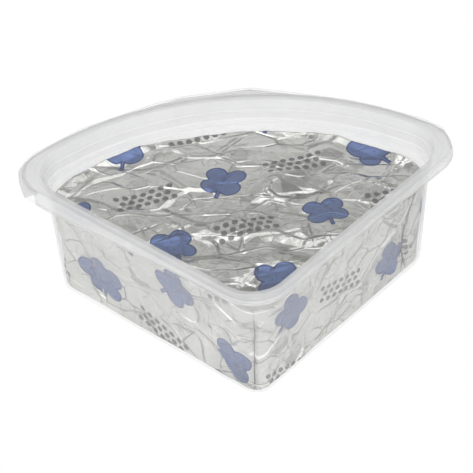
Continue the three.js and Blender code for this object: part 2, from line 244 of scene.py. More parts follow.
def loop_faces(rows, columns):
    """Four corners of each face of a grid whose columns close into a ring."""
    here = np.arange(columns)
    there = (here + 1) % columns
    base = (np.arange(rows - 1) * columns)[:, None]
    corners = [base + here, base + there, base + columns + there, base + columns + here]
    return np.stack([corner.ravel() for corner in corners], axis=1)


def fan_faces(centre, ring, upward):
    """Triangles from a middle point to each edge of a ring of points."""
    following = np.roll(ring, -1)
    middle = np.full(len(ring), centre)
    return np.stack([middle, ring, following] if upward else [middle, following, ring], axis=1)


def add_mesh(name, points, quads, triangles, material):
    """Mesh object at the origin from arrays of points, quads and triangles, smooth shaded."""
    mesh = bpy.data.meshes.new(name)
    mesh.vertices.add(len(points))
    mesh.vertices.foreach_set("co", np.asarray(points, dtype=np.float32).ravel())
    corners = np.concatenate([quads.ravel(), triangles.ravel()]).astype(np.int32)
    sizes = np.concatenate([np.full(len(quads), 4), np.full(len(triangles), 3)])
    starts = (np.cumsum(sizes) - sizes).astype(np.int32)
    mesh.loops.add(len(corners))
    mesh.loops.foreach_set("vertex_index", corners)
    mesh.polygons.add(len(sizes))
    mesh.polygons.foreach_set("loop_start", starts)
    mesh.polygons.foreach_set("use_smooth", np.ones(len(sizes), dtype=bool))
    mesh.update(calc_edges=True)
    if mesh.validate():
        raise RuntimeError(f"{name} has faces that share an edge wrongly")
    piece = bpy.data.objects.new(name, mesh)
    bpy.context.scene.collection.objects.link(piece)
    mesh.materials.append(material)
    return piece


def pack_place():
    """Where the two sides' lines would meet, found from the tub's box: its right reach and its front."""
    tub = bpy.context.scene.tub_settings
    edge = sector(np.array(tub.rim) + tub.skirt_flare)[0][0]
    return np.array([TUB_BOX[1][0] - edge[:, 0].max(), TUB_BOX[0][1] - edge[:, 1].min()])


class Graph:
    """Short calls for the nodes of one material or world."""

    def __init__(self, tree):
        self.tree = tree
        tree.nodes.clear()

    def add(self, kind, inputs=None, **values):
        """Node of a kind with its options set, and its inputs linked or given a value."""
        node = self.tree.nodes.new(kind)
        for key, value in values.items():
            setattr(node, key, value)
        for key, value in (inputs or {}).items():
            if isinstance(value, bpy.types.NodeSocket):
                self.tree.links.new(value, node.inputs[key])
            else:
                node.inputs[key].default_value = value
        return node

    def math(self, operation, *values):
        """Result of one Math node."""
        inputs = dict(enumerate(values))
        return self.add("ShaderNodeMath", inputs, operation=operation).outputs[0]

    def ramp(self, value, low, high, to_low=0.0, to_high=1.0):
        """Value mapped from one range to another and held at its ends."""
        inputs = {"Value": value, "From Min": low, "From Max": high, "To Min": to_low, "To Max": to_high}
        return self.add("ShaderNodeMapRange", inputs).outputs["Result"]

    def mix(self, share, first, second):
        """Blend of two colours."""
        return self.add("ShaderNodeMix", {0: share, 6: first, 7: second}, data_type="RGBA").outputs[2]

    def noise(self, vector, scale, detail=2.0, roughness=0.5):
        """Height of a soft random pattern."""
        inputs = {"Vector": vector, "Scale": scale, "Detail": detail, "Roughness": roughness}
        return self.add("ShaderNodeTexNoise", inputs).outputs["Fac"]

    def finish(self, shader):
        """Surface output."""
        self.add("ShaderNodeOutputMaterial", {"Surface": shader})


def opaque(rgb, strength=1.0):
    """Colour with full alpha, times a strength."""
    return (*(strength * part for part in rgb), 1.0)


def grey(level):
    """Neutral colour with full alpha."""
    return level, level, level, 1.0


def new_material(name):
    """Empty node material and its graph."""
    material = bpy.data.materials.new(name)
    material.use_nodes = True
    return material, Graph(material.node_tree)


def plastic_material():
    """Milky translucent plastic: most light passes, the rest scatters, more so at a grazing look."""
    tub = bpy.context.scene.tub_settings
    material, graph = new_material("tub_plastic")
    place = graph.add("ShaderNodeTexCoord").outputs["Object"]
    stretched = graph.add("ShaderNodeMapping", {"Vector": place, "Scale": (1.0, 1.0, 0.12)}).outputs["Vector"]
    streaks = graph.noise(stretched, 160.0, 3.0)
    clouds = graph.noise(place, 30.0, 2.0)
    tone = graph.ramp(graph.math("ADD", streaks, clouds), 0.75, 1.25)
    height = graph.add("ShaderNodeSeparateXYZ", {"Vector": place}).outputs["Z"]
    thick = graph.ramp(height, tub.lower_step - 7 * MM, tub.lower_step + 7 * MM)
    drawn_haze = graph.ramp(height, 10 * MM, 45 * MM, 0.6 * tub.wall_haze, tub.wall_haze)
    haze = graph.math("MULTIPLY_ADD", thick, graph.math("SUBTRACT", tub.rim_haze, drawn_haze), drawn_haze)
    pale = graph.mix(thick, opaque(tub.plastic), opaque(tub.rim_plastic))
    dull = graph.mix(0.1, pale, grey(0.3))
    facing = graph.add("ShaderNodeLayerWeight", {"Blend": 0.35}).outputs["Facing"]
    grazing = graph.math("POWER", facing, 3.0)
    alpha = graph.math("MULTIPLY_ADD", grazing, 0.2, haze)
    bump = graph.add("ShaderNodeBump", {"Height": streaks, "Strength": 0.12, "Distance": 0.4 * MM})
    shader = graph.add("ShaderNodeBsdfPrincipled", {
        "Base Color": graph.mix(tone, dull, pale),
        "Roughness": graph.ramp(clouds, 0.3, 0.7, 0.3, 0.42),
        "IOR": 1.5,
        "Alpha": alpha,
        "Normal": bump.outputs["Normal"],
    })
    graph.finish(shader.outputs["BSDF"])
    return material


def film_material():
    """Clear thin film with a faint veil that thickens at a grazing look."""
    film = bpy.context.scene.film_settings
    material, graph = new_material("clear_film")
    place = graph.add("ShaderNodeTexCoord").outputs["Object"]
    haze = graph.noise(place, 22.0, 3.0)
    facing = graph.add("ShaderNodeLayerWeight", {"Blend": 0.3}).outputs["Facing"]
    alpha = graph.math("MULTIPLY_ADD", graph.math("POWER", facing, 3.0), 0.35, film.veil)
    bump = graph.add("ShaderNodeBump", {"Height": haze, "Strength": 0.15, "Distance": 0.6 * MM})
    shader = graph.add("ShaderNodeBsdfPrincipled", {
        "Base Color": graph.mix(haze, opaque(film.tint, 0.92), opaque(film.tint)),
        "Roughness": graph.ramp(haze, 0.3, 0.7, 0.06, 0.12),
        "IOR": 1.5,
        "Alpha": alpha,
        "Normal": bump.outputs["Normal"],
    })
    graph.finish(shader.outputs["BSDF"])
    return material


# The printed sheet: pitch of the leaves along and between rows, their place in a cell and their swing.
MOTIF_PITCH = 88 * MM
ROW_PITCH = 46 * MM
MOTIF_PLACE = (-24 * MM, 0.0)
MOTIF_SWING = math.radians(40.0)
CELL_NUMBERS = (57.0, 31.0)

# A leaf: four lobes about a heart, and a stalk below it.
LOBE_ANGLES = (45.0, 135.0, 225.0, 315.0)
LOBE_RADIUS = 6.3 * MM
LOBE_REACH = 7.6 * MM
LOBE_BLEND = 1.2 * MM
LEAF_HEART = 3.5 * MM
STALK_MIDDLE = 10 * MM
STALK_HALF = (1.2 * MM, 5.5 * MM)
STALK_BLEND = 1.5 * MM
EDGE_LINE = 0.45 * MM

# A band of discs: the shift in pitches, the count and the level of each of its rows.
BEAD_PITCH = 5.2 * MM
BEAD_RADIUS = 1.75 * MM
BEAD_ROWS = ((0.0, 7, 4.5 * MM), (0.5, 6, 0.0), (0.0, 7, -4.5 * MM))


def disc_distance(graph, x, y, radius):
    """Distance from the edge of a disc about the origin, negative inside."""
    squared = graph.math("MULTIPLY_ADD", x, x, graph.math("MULTIPLY", y, y))
    return graph.math("SUBTRACT", graph.math("SQRT", squared), radius)


def leaf_motif(graph, x, y):
    """Distance from the edge of a four-lobed leaf, negative inside.

    The leaf is the smooth union of four discs set round its middle, of a small disc in the middle and
    of a short upright stalk.
    """
    field = disc_distance(graph, x, y, LEAF_HEART)
    for angle in LOBE_ANGLES:
        across = graph.math("SUBTRACT", x, LOBE_REACH * math.cos(math.radians(angle)))
        up = graph.math("SUBTRACT", y, LOBE_REACH * math.sin(math.radians(angle)))
        field = graph.math("SMOOTH_MIN", field, disc_distance(graph, across, up, LOBE_RADIUS), LOBE_BLEND)
    aside = graph.math("SUBTRACT", graph.math("ABSOLUTE", x), STALK_HALF[0])
    along = graph.math("SUBTRACT", graph.math("ABSOLUTE", graph.math("ADD", y, STALK_MIDDLE)), STALK_HALF[1])
    return graph.math("SMOOTH_MIN", field, graph.math("MAXIMUM", aside, along), STALK_BLEND)


def bead_rows(graph, x, y):
    """1 on a band of small printed discs, 0 elsewhere: rows of evenly spaced discs, each row staggered."""
    total = None
    for shift, count, level in BEAD_ROWS:
        step = graph.math("SUBTRACT", graph.math("DIVIDE", x, BEAD_PITCH), shift)
        across = graph.math("MULTIPLY", graph.math("SUBTRACT", graph.math("FRACT", step), 0.5), BEAD_PITCH)
        up = graph.math("SUBTRACT", y, level)
        disc = graph.math("LESS_THAN", disc_distance(graph, across, up, BEAD_RADIUS), 0.0)
        after = graph.math("GREATER_THAN", step, 0.0)
        before = graph.math("LESS_THAN", step, float(count))
        row = graph.math("MULTIPLY", disc, graph.math("MULTIPLY", after, before))
        total = row if total is None else graph.math("MAXIMUM", total, row)
    return total


def print_masks(graph):
    """Where the foil is printed: inside the leaves, on the line round them, and on the grey discs.

    The print lies in the piece's own map, in metres. Rows lie a row pitch apart, every other row is
    moved by half a motif pitch, and each cell holds one leaf, turned its own way, and one band of discs.
    """
    sheet = graph.add("ShaderNodeUVMap", uv_map="print").outputs["UV"]
    part = graph.add("ShaderNodeSeparateXYZ", {"Vector": sheet})
    up = graph.math("DIVIDE", part.outputs["Y"], ROW_PITCH)
    row = graph.math("FLOOR", up)
    stagger = graph.math("MULTIPLY", graph.math("MODULO", row, 2.0), 0.5)
    across = graph.math("ADD", graph.math("DIVIDE", part.outputs["X"], MOTIF_PITCH), stagger)
    column = graph.math("MULTIPLY", graph.math("FLOOR", across), CELL_NUMBERS[0])
    cell = graph.math("MULTIPLY_ADD", row, CELL_NUMBERS[1], column)
    x = graph.math("MULTIPLY", graph.math("SUBTRACT", graph.math("FRACT", across), 0.5), MOTIF_PITCH)
    y = graph.math("MULTIPLY", graph.math("SUBTRACT", graph.math("FRACT", up), 0.5), ROW_PITCH)
    centred = graph.add("ShaderNodeCombineXYZ", {
        "X": graph.math("SUBTRACT", x, MOTIF_PLACE[0]),
        "Y": graph.math("SUBTRACT", y, MOTIF_PLACE[1]),
    })
    draw = graph.add("ShaderNodeTexWhiteNoise", {"W": cell}, noise_dimensions="1D").outputs["Value"]
    swing = graph.ramp(draw, 0.0, 1.0, -MOTIF_SWING, MOTIF_SWING)
    turned = graph.add("ShaderNodeVectorRotate", {"Vector": centred.outputs["Vector"], "Angle": swing},
                       rotation_type="Z_AXIS")
    spot = graph.add("ShaderNodeSeparateXYZ", {"Vector": turned.outputs["Vector"]})
    leaf = leaf_motif(graph, spot.outputs["X"], spot.outputs["Y"])
    inside = graph.math("LESS_THAN", leaf, 0.0)
    edge = graph.math("LESS_THAN", graph.math("ABSOLUTE", graph.math("ADD", leaf, EDGE_LINE)), EDGE_LINE)
    return inside, edge, bead_rows(graph, x, y)


# Soft facets laid over each other: scale, tilt, softness, turn and stretch of each layer. Over them lie
# small sharp facets, and a grain.
FACET_LAYERS = (
    (40.0, 0.22, 0.24, (0.3, 0.5, 0.7), 0.6),
    (74.0, 0.21, 0.2, (0.2, 0.4, -0.8), 0.5),
)
SMALL_FACETS = (130.0, 0.3, 0.08)
GRAIN_HEIGHT = 0.03 * MM
SWAY_SCALE = 24.0
SWAY_REACH = 7 * MM


def facets(graph, place, scale, tilt, softness):
    """Height of flat facets about one over scale wide, each tilted its own way, and the lines between.

    A facet's height is the dot product of the place within its cell and the cell's own random direction.
    """
    cells = graph.add("ShaderNodeTexVoronoi", {"Vector": place, "Scale": scale, "Smoothness": softness},
                      feature="SMOOTH_F1")
    edges = graph.add("ShaderNodeTexVoronoi", {"Vector": place, "Scale": scale}, feature="DISTANCE_TO_EDGE")
    arm = graph.add("ShaderNodeVectorMath", {0: place, 1: cells.outputs["Position"]}, operation="SUBTRACT")
    lean = graph.add("ShaderNodeVectorMath", {0: cells.outputs["Color"], 1: (0.5, 0.5, 0.5)},
                     operation="SUBTRACT")
    slope = graph.add("ShaderNodeVectorMath", {0: arm.outputs["Vector"], 1: lean.outputs["Vector"]},
                      operation="DOT_PRODUCT").outputs["Value"]
    return graph.math("MULTIPLY", slope, tilt), edges.outputs["Distance"]


def foil_relief(graph, place):
    """Height of the crumple that is too fine for the mesh, and the mask of the painted shade on its sharp
    crease lines.

    Layers of soft facets lie over a place that noise sways, with small facets in patches and a grain on
    them. The lines follow the facets' edges where noise lets them. Faces that look up have fewer of both.
    """
    sway = graph.add("ShaderNodeTexNoise", {"Vector": place, "Scale": SWAY_SCALE, "Detail": 1.0})
    shift = graph.add("ShaderNodeVectorMath", {0: sway.outputs["Color"], "Scale": SWAY_REACH},
                      operation="SCALE")
    bent = graph.add("ShaderNodeVectorMath", {0: place, 1: shift.outputs["Vector"]}, operation="ADD")
    bent = bent.outputs["Vector"]
    soft = None
    for scale, tilt, softness, turn, stretch in FACET_LAYERS:
        inputs = {"Vector": bent, "Rotation": turn, "Scale": (stretch, 1.0, 1.0)}
        laid = graph.add("ShaderNodeMapping", inputs).outputs["Vector"]
        height, edges = facets(graph, laid, scale, tilt, softness)
        soft = height if soft is None else graph.math("ADD", soft, height)
    normal = graph.add("ShaderNodeNewGeometry").outputs["Normal"]
    upward = graph.add("ShaderNodeSeparateXYZ", {"Vector": normal}).outputs["Z"]
    where = graph.noise(place, 55.0, 1.0)
    small, small_edges = facets(graph, bent, *SMALL_FACETS)
    patches = graph.ramp(where, 0.44, 0.6, 0.1, 1.0)
    patches = graph.math("MULTIPLY", patches, graph.ramp(upward, 0.3, 0.7, 1.0, 0.45))
    # Painted shade lies on thin lines along the small facets' edges and on wide lines along the soft facets'
    # edges, fewer on faces that look up.
    thin = graph.ramp(small_edges, 0.01, 0.05, 1.0, 0.0)
    thin = graph.math("MULTIPLY", thin, graph.ramp(where, 0.5, 0.57))
    wide = graph.ramp(edges, 0.006, 0.02, 1.0, 0.0)
    wide = graph.math("MULTIPLY", wide, graph.ramp(graph.noise(place, 34.0, 1.0), 0.54, 0.6))
    line = graph.math("MAXIMUM", wide, graph.math("MULTIPLY", thin, 0.7))
    line = graph.math("MULTIPLY", line, graph.ramp(upward, 0.3, 0.7, 1.0, 0.12))
    relief = graph.math("MULTIPLY_ADD", small, patches, soft)
    grain = graph.noise(place, 420.0, 3.0, 0.55)
    return graph.math("MULTIPLY_ADD", grain, GRAIN_HEIGHT, relief), line


def foil_material():
    """Bright aluminium foil, crumpled, with blue leaves and grey discs printed on it.

    The metal is mottled. Painted shade darkens it on the crease lines, and a painted shadow darkens it deep
    in the tucked folds, by their distance in the piece's own attribute. Ink is less metallic and a little
    rougher.
    """
    foil = bpy.context.scene.foil_settings
    material, graph = new_material("printed_foil")
    place = graph.add("ShaderNodeTexCoord").outputs["Object"]
    inside, edge, beads = print_masks(graph)
    relief, line = foil_relief(graph, place)
    mottle = graph.noise(place, 45.0, 2.0, 0.5)
    metal = graph.mix(graph.ramp(mottle, 0.35, 0.65), opaque(foil.metal, 0.95), opaque(foil.metal))
    printed = graph.mix(inside, metal, opaque(foil.blue_ink))
    printed = graph.mix(edge, printed, opaque(foil.blue_edge))
    printed = graph.mix(beads, printed, opaque(foil.grey_ink))
    # Painted shade on the crease lines, by the crease shade share.
    printed = graph.mix(graph.math("MULTIPLY", line, foil.crease_shade), printed, opaque(foil.painted_shade))
    from_fold = graph.add("ShaderNodeAttribute", attribute_name="from_fold").outputs["Fac"]
    from_fold = graph.math("ABSOLUTE", from_fold)
    # Painted shadow: a dark line along each fold's slit, and a softer painted shade on the flap beside it.
    painted_slit_shadow = graph.ramp(from_fold, 0.2 * MM, 0.5 * MM, 1.0, 0.0)
    shade = graph.ramp(from_fold, 0.5 * MM, 3 * MM, 0.2, 0.0)
    printed = graph.mix(graph.math("MAXIMUM", painted_slit_shadow, shade), printed, opaque(foil.painted_shade))
    inked = graph.math("MAXIMUM", inside, beads)
    bump = graph.add("ShaderNodeBump", {"Height": relief, "Strength": 1.0, "Distance": 1.0})
    shader = graph.add("ShaderNodeBsdfPrincipled", {
        "Base Color": printed,
        "Metallic": graph.math("MULTIPLY_ADD", inked, -0.25, 1.0),
        "Roughness": graph.math("MULTIPLY_ADD", inked, 0.08, graph.ramp(mottle, 0.3, 0.7, 0.19, 0.28)),
        "Normal": bump.outputs["Normal"],
    })
    graph.finish(shader.outputs["BSDF"])
    return material


def wall_plans(heights):
    """Outside plans of the tub's wall: a blend from foot to brow, widened by two S-shaped steps."""
    tub = bpy.context.scene.tub_settings
    share = (heights / tub.brow_height)[:, None]
    plans = np.array(tub.foot) * (1.0 - share) + np.array(tub.brow) * share
    rise = smooth(heights, tub.lower_step, tub.lower_step + tub.step_rise)
    rise = rise + smooth(heights, tub.upper_step, tub.upper_step + tub.step_rise)
    return plans + tub.step_out * rise[:, None]


# The skirt gets deeper along the left side and before the right corner, and shallow again past both.
LEFT_FADE = (2 * MM, 92 * MM)
RIGHT_FADE = (58 * MM, 78 * MM)
CORNER_FADE = (112 * MM, 128 * MM)

# A shallow groove runs round the rim's outer band: the distances in from the edge, and their depths.
GROOVE_IN = np.array([[1.6], [1.9], [2.2], [2.5]]) * MM
GROOVE_DEPTH = np.array([0.0, 0.15, 0.15, 0.0]) * MM

# The skirt's section: share of the flare, wall thicknesses inward, and share of the skirt's depth.
SKIRT_SECTION = ((0.5, 1.0, 0.5), (1.0, 1.0, 0.97), (1.0, 0.5, 1.0), (1.0, 0.0, 0.97), (0.5, 0.0, 0.5))

# Rows of the skin over a fillet and an edge, up the plain wall and over the stepped bands.
FILLET_ROWS = 7
EDGE_ROWS = 5
WALL_ROWS = 16
BAND_ROWS = 26

# The gap in the skirt, the peel tab before it, and the flat flange behind.
TAB_GAP = (95.5 * MM, 128 * MM)
TAB_ROOT = np.array([-110.8, 95.5]) * MM
TAB_EDGE = np.array([[-118.7, 92.2], [-121.4, 105.7]]) * MM
FLANGE_START_Y = 106 * MM
FLANGE_TOP = 77.8 * MM
FLANGE_THICKNESS = 0.6 * MM
FLANGE_OVERLAP = 1.0 * MM
FLANGE_LEAST = 0.4 * MM
FLANGE_DROOP = 0.15 * MM
FLANGE_HUB = np.array([0.0, 60.0]) * MM

# The film's cut edge, which the flange shares at the back.
FILM_EDGE = np.array([
    [-112.4, 83.6], [-60, 33.6], [-22, -2.2], [-11, -12.4], [0, -15.4], [11, -12.4], [24, 0.4],
    [95, 77], [106, 86.6], [116.5, 98.5], [119.3, 108], [117, 125.7], [105, 137], [82.8, 151],
    [67.8, 159], [34.6, 171], [12.2, 178.3], [-28.3, 174.3], [-45.8, 168.4], [-86.4, 150],
    [-113.3, 129.8], [-118.4, 123.1], [-121.8, 115.5], [-121.8, 104.8], [-119.7, 92.4],
]) * MM


def skirt_depth(outline):
    """Depth of the skirt at each point of the outline, with the gap beside the tab cut away."""
    tub = bpy.context.scene.tub_settings
    x, y = outline[..., 0], outline[..., 1]
    left = x < 0.0
    rise = np.where(left, smooth(y, *LEFT_FADE), smooth(y, *RIGHT_FADE))
    deepest = np.where(left, tub.skirt_left, tub.skirt_right)
    share = rise * (1.0 - smooth(y, *CORNER_FADE))
    depth = tub.skirt_shallow + (deepest - tub.skirt_shallow) * share
    gap = left & (y > TAB_GAP[0]) & (y < TAB_GAP[1])
    return np.where(gap, tub.land_rise + tub.edge_round + 0.6 * tub.wall, depth)


def tub_rows():
    """Plans and heights of the tub's skin, row by row, and how far each row hangs down the skirt.

    The skin runs from the floor's underside up the outside, under the rim, down inside the skirt and up
    its outside, over the outer band, the groove and the sealing land, then down the inside to the floor.
    """
    tub = bpy.context.scene.tub_settings
    foot, mouth, rim = (np.array(p) for p in (tub.foot, tub.mouth, tub.rim))
    round_over = np.linspace(0.0, math.pi / 2, FILLET_ROWS)
    fillet_out = tub.foot_fillet * (np.sin(round_over) - 1.0)
    fillet_up = tub.foot_fillet * (1.0 - np.cos(round_over))
    low_walls = np.linspace(tub.foot_fillet, tub.lower_step - 0.3 * MM, WALL_ROWS)[1:]
    high_walls = np.linspace(tub.lower_step, tub.upper_step + 2 * tub.step_rise, BAND_ROWS)
    walls = np.concatenate([low_walls, high_walls])
    band = tub.rim_top - tub.land_rise
    under = band - tub.wall
    land_end = mouth + tub.land_width
    edge = np.linspace(0.0, math.pi / 2, EDGE_ROWS)[:, None]
    rows = []

    def lay(plans, heights, hang=0.0):
        """Add the next rows of the skin."""
        plans = np.atleast_2d(plans)
        rows.append((plans, np.broadcast_to(heights, len(plans)), np.broadcast_to(hang, len(plans))))

    lay(foot + fillet_out[:, None], fillet_up)
    lay(wall_plans(walls), walls)
    lay(mouth + np.array([[0.6], [1.3]]) * tub.wall, np.array([under - 0.9 * MM, under]))
    lay(land_end + np.array([[0.0], [1.2 * MM]]), under)
    lay(rim - np.array([[2.4 * MM], [1.2 * tub.wall]]), under)
    for flare, inward, share in SKIRT_SECTION:
        lay(rim + (tub.skirt_flare * flare - tub.wall * inward), band, share)
    lay(rim + tub.edge_round * (np.cos(edge) - 1.0), band - tub.edge_round * (1.0 - np.sin(edge[:, 0])))
    lay(rim - GROOVE_IN, band - GROOVE_DEPTH)
    lay(land_end + np.array([[0.9 * MM], [0.6 * MM]]), band)
    lay(land_end + np.array([[0.15 * MM], [-0.25 * MM]]), np.array([tub.rim_top - 0.1 * MM, tub.rim_top]))
    lay(mouth + tub.edge_round * (1.0 - np.sin(edge)),
        tub.rim_top - tub.edge_round * (1.0 - np.cos(edge[:, 0])))
    inner = walls[::-1]
    lay(wall_plans(inner) - tub.wall, inner + 0.4 * tub.wall)
    inner_round = round_over[::-1]
    lay(foot - tub.wall + tub.foot_fillet * (np.sin(inner_round) - 1.0)[:, None],
        tub.wall + tub.foot_fillet * (1.0 - np.cos(inner_round)))
    plans = np.concatenate([row[0] for row in rows])
    heights = np.concatenate([row[1] for row in rows])
    hang = np.concatenate([row[2] for row in rows])
    return plans, heights, hang


def resample(line, count):
    """Points at even distances along a line of points."""
    reach = travelled(line[None])[0]
    spots = np.linspace(0.0, reach[-1], count)
    return np.stack([np.interp(spots, reach, line[:, k]) for k in (0, 1)], axis=1)


def seen_from_hub(line, angles):
    """Distance from the flange's hub to a line of points, at each angle about the hub."""
    arm = line - FLANGE_HUB
    angle = np.arctan2(arm[:, 1], arm[:, 0])
    order = np.argsort(angle)
    return np.interp(angles, angle[order], np.linalg.norm(arm, axis=1)[order])


def flange_grid(count=420, rings=5):
    """Flat flange with the peel tab at its left end: a strip from within the rim's edge to its own cut edge.

    Both edges are read at even angles about the hub, and the cut edge never comes inside the inner one.
    The section is a flat loop, out along the top and back along the underside, carried along the strip.
    """
    tub = bpy.context.scene.tub_settings
    behind = FILM_EDGE[FILM_EDGE[:, 1] > FLANGE_START_Y][::-1]
    cut = resample(np.concatenate([TAB_EDGE, behind]), 2000)
    rim_edge = sector(np.array(tub.rim) - FLANGE_OVERLAP)[0][0]
    ends = [math.atan2(*(point - FLANGE_HUB)[::-1]) for point in (cut[0], TAB_ROOT, cut[-1])]
    cut_angle = np.linspace(ends[0], ends[2], count)
    rim_angle = np.linspace(ends[1], ends[2], count)
    near = seen_from_hub(rim_edge, rim_angle)
    far = np.maximum(seen_from_hub(cut, cut_angle), seen_from_hub(rim_edge, cut_angle) + FLANGE_LEAST)
    inner = FLANGE_HUB + near[:, None] * np.stack([np.cos(rim_angle), np.sin(rim_angle)], axis=1)
    outer = FLANGE_HUB + far[:, None] * np.stack([np.cos(cut_angle), np.sin(cut_angle)], axis=1)
    out = np.linspace(0.0, 1.0, rings)[:, None, None]
    sheet = inner * (1.0 - out) + outer * out
    top = np.concatenate([sheet, np.full((rings, count, 1), FLANGE_TOP)], axis=2)
    under = top.copy()
    under[:, :, 2] -= FLANGE_THICKNESS
    top[-1, :, 2] -= FLANGE_DROOP
    section = np.concatenate([top, under[::-1]])
    return section.transpose(1, 0, 2)


def strip_faces(rows, columns, first):
    """Faces of a tube of closed sections, with a flat face over each end as quads."""
    quads = loop_faces(rows, columns)[:, ::-1] + first
    half = columns // 2
    step = np.arange(half - 1)
    start = np.stack([step, step + 1, columns - 2 - step, columns - 1 - step], axis=1)
    end = start[:, ::-1] + (rows - 1) * columns
    return np.concatenate([quads, start + first, end + first])


def tub_mesh():
    """Points and faces of the tub: the closed skin from tub_rows, and the flange with its tab."""
    plans, heights, hang = tub_rows()
    outline, _ = sector(plans)
    depth = skirt_depth(outline)
    tub = bpy.context.scene.tub_settings
    rise = heights[:, None] - hang[:, None] * (depth - tub.land_rise)
    skin = np.concatenate([outline, rise[:, :, None]], axis=2)
    rows, columns = rise.shape
    middle = np.array([0.0, 0.5 * tub.foot[1]])
    points = [skin.reshape(-1, 3), [[*middle, 0.0]], [[*middle, tub.wall]]]
    last = rows * columns
    triangles = np.concatenate([
        fan_faces(last, np.arange(columns), False),
        fan_faces(last + 1, (rows - 1) * columns + np.arange(columns), True),
    ])
    flange = flange_grid()
    quads = np.concatenate([loop_faces(rows, columns), strip_faces(*flange.shape[:2], last + 2)])
    points.append(flange.reshape(-1, 3))
    points = np.concatenate(points)
    points[:, :2] += pack_place()
    return points, quads, triangles


# Lehmer's generator: each state is the last one times the factor, modulo the prime.
DRAW_FACTOR = 16807
DRAW_PRIME = 2147483647


def wave_set(count, shortest, longest, seed):
    """Directions, lengths and phases of crossing waves, drawn by Lehmer's generator."""
    draws = []
    state = seed
    for _ in range(3 * count):
        state = state * DRAW_FACTOR % DRAW_PRIME
        draws.append(state / DRAW_PRIME)
    draws = np.array(draws).reshape(count, 3)
    angle = math.pi * (np.arange(count) + draws[:, 0]) / count
    size = shortest + (longest - shortest) * draws[:, 1]
    return np.cos(angle) / size, np.sin(angle) / size, draws[:, 2]


def crumple(x, y, waves):
    """Sum of triangle waves, from about -1 to 1: a sheet of flat facets that meet in straight creases."""
    total = np.zeros_like(x)
    for along_x, along_y, phase in zip(*waves):
        turns = x * along_x + y * along_y + phase
        total += 1.0 - 4.0 * np.abs(turns - np.round(turns))
    return total / math.sqrt(len(waves[0]))


def bend(x, y, size, amount):
    """The same place moved by slow sines, so that creases laid over it curve."""
    turn = 2.0 * math.pi / size
    return x + amount * np.sin(turn * y + 1.3), y + amount * np.sin(turn * 1.3 * x + 0.4)


def creases(x, y, low, high, kinds, seed):
    """Sum of many folds pressed into the sheet.

    Each fold follows a short straight line with a random middle, direction and length. Across the line
    its height falls slowly on one side and steeply on the other, and along it to nothing at both ends.
    """
    draw = np.random.default_rng(seed)
    total = np.zeros_like(x)
    for count, lengths, heights, slow, steep in kinds:
        middle_x = draw.uniform(low[0], high[0], count)
        middle_y = draw.uniform(low[1], high[1], count)
        angle = draw.uniform(0.0, 2.0 * math.pi, count)
        reach = draw.uniform(*lengths, count) / 2
        tall = draw.uniform(*heights, count) * draw.choice([1.0, 1.0, -1.0], count)
        broad = draw.uniform(*slow, count)
        narrow = draw.uniform(*steep, count)
        for k in range(count):
            across_x, across_y = x - middle_x[k], y - middle_y[k]
            along = across_x * math.cos(angle[k]) + across_y * math.sin(angle[k])
            aside = across_y * math.cos(angle[k]) - across_x * math.sin(angle[k])
            tent = np.where(aside > 0.0, 1.0 - aside / broad[k], 1.0 + aside / narrow[k])
            fade = np.clip(1.0 - (along / reach[k]) ** 2, 0.0, 1.0)
            total += tall[k] * np.clip(tent, 0.0, 1.0) * fade
    return total


# Kinds of crease: count, and the ranges of length, height, slow width and steep width.
SIDE_CREASES = (
    (64, (20 * MM, 62 * MM), (0.25 * MM, 0.7 * MM), (5 * MM, 13 * MM), (1.0 * MM, 1.6 * MM)),
    (230, (6 * MM, 24 * MM), (0.08 * MM, 0.3 * MM), (1.6 * MM, 4.5 * MM), (0.9 * MM, 1.3 * MM)),
)
TOP_CREASES = (
    (46, (28 * MM, 90 * MM), (0.3 * MM, 0.95 * MM), (7 * MM, 18 * MM), (1.0 * MM, 1.8 * MM)),
    (150, (8 * MM, 34 * MM), (0.08 * MM, 0.38 * MM), (2 * MM, 6 * MM), (0.8 * MM, 1.3 * MM)),
)

# Waves of the crumple: count, shortest and longest.
BROAD_WAVES = (7, 30 * MM, 66 * MM)
SIDE_WAVES = (6, 9 * MM, 26 * MM)
TOP_WAVES = (6, 10 * MM, 30 * MM)
PATCH_WAVES = (5, 50 * MM, 90 * MM)

# Tucked folds, in millimetres: the place of the foot, how far the head leans away, how far the ends bow
# back along the side, and the heights between which the fold runs.
FOLDS = (
    {"place": (-2.4, 4.6), "lean": (1.4, -4), "bow": 0.0, "low": 2, "high": 56},
    {"place": (89.9, 91.1), "lean": (5, 3), "bow": 7.4, "low": 2, "high": 60},
    {"place": (-81.4, 80.5), "lean": (-14.5, 12.2), "bow": 0.0, "low": 4, "high": 58},
    {"place": (-11.4, 9.8), "lean": (-12.3, 11.8), "bow": 0.0, "low": 1, "high": 20},
)

# Widths of a fold's slow and steep side, what is added to the distance at its ends, and a far distance.
FOLD_FLAP = 8.4 * MM
FOLD_LIP = 1.3 * MM
FOLD_FADE = 3 * MM
FAR_AWAY = 1.0


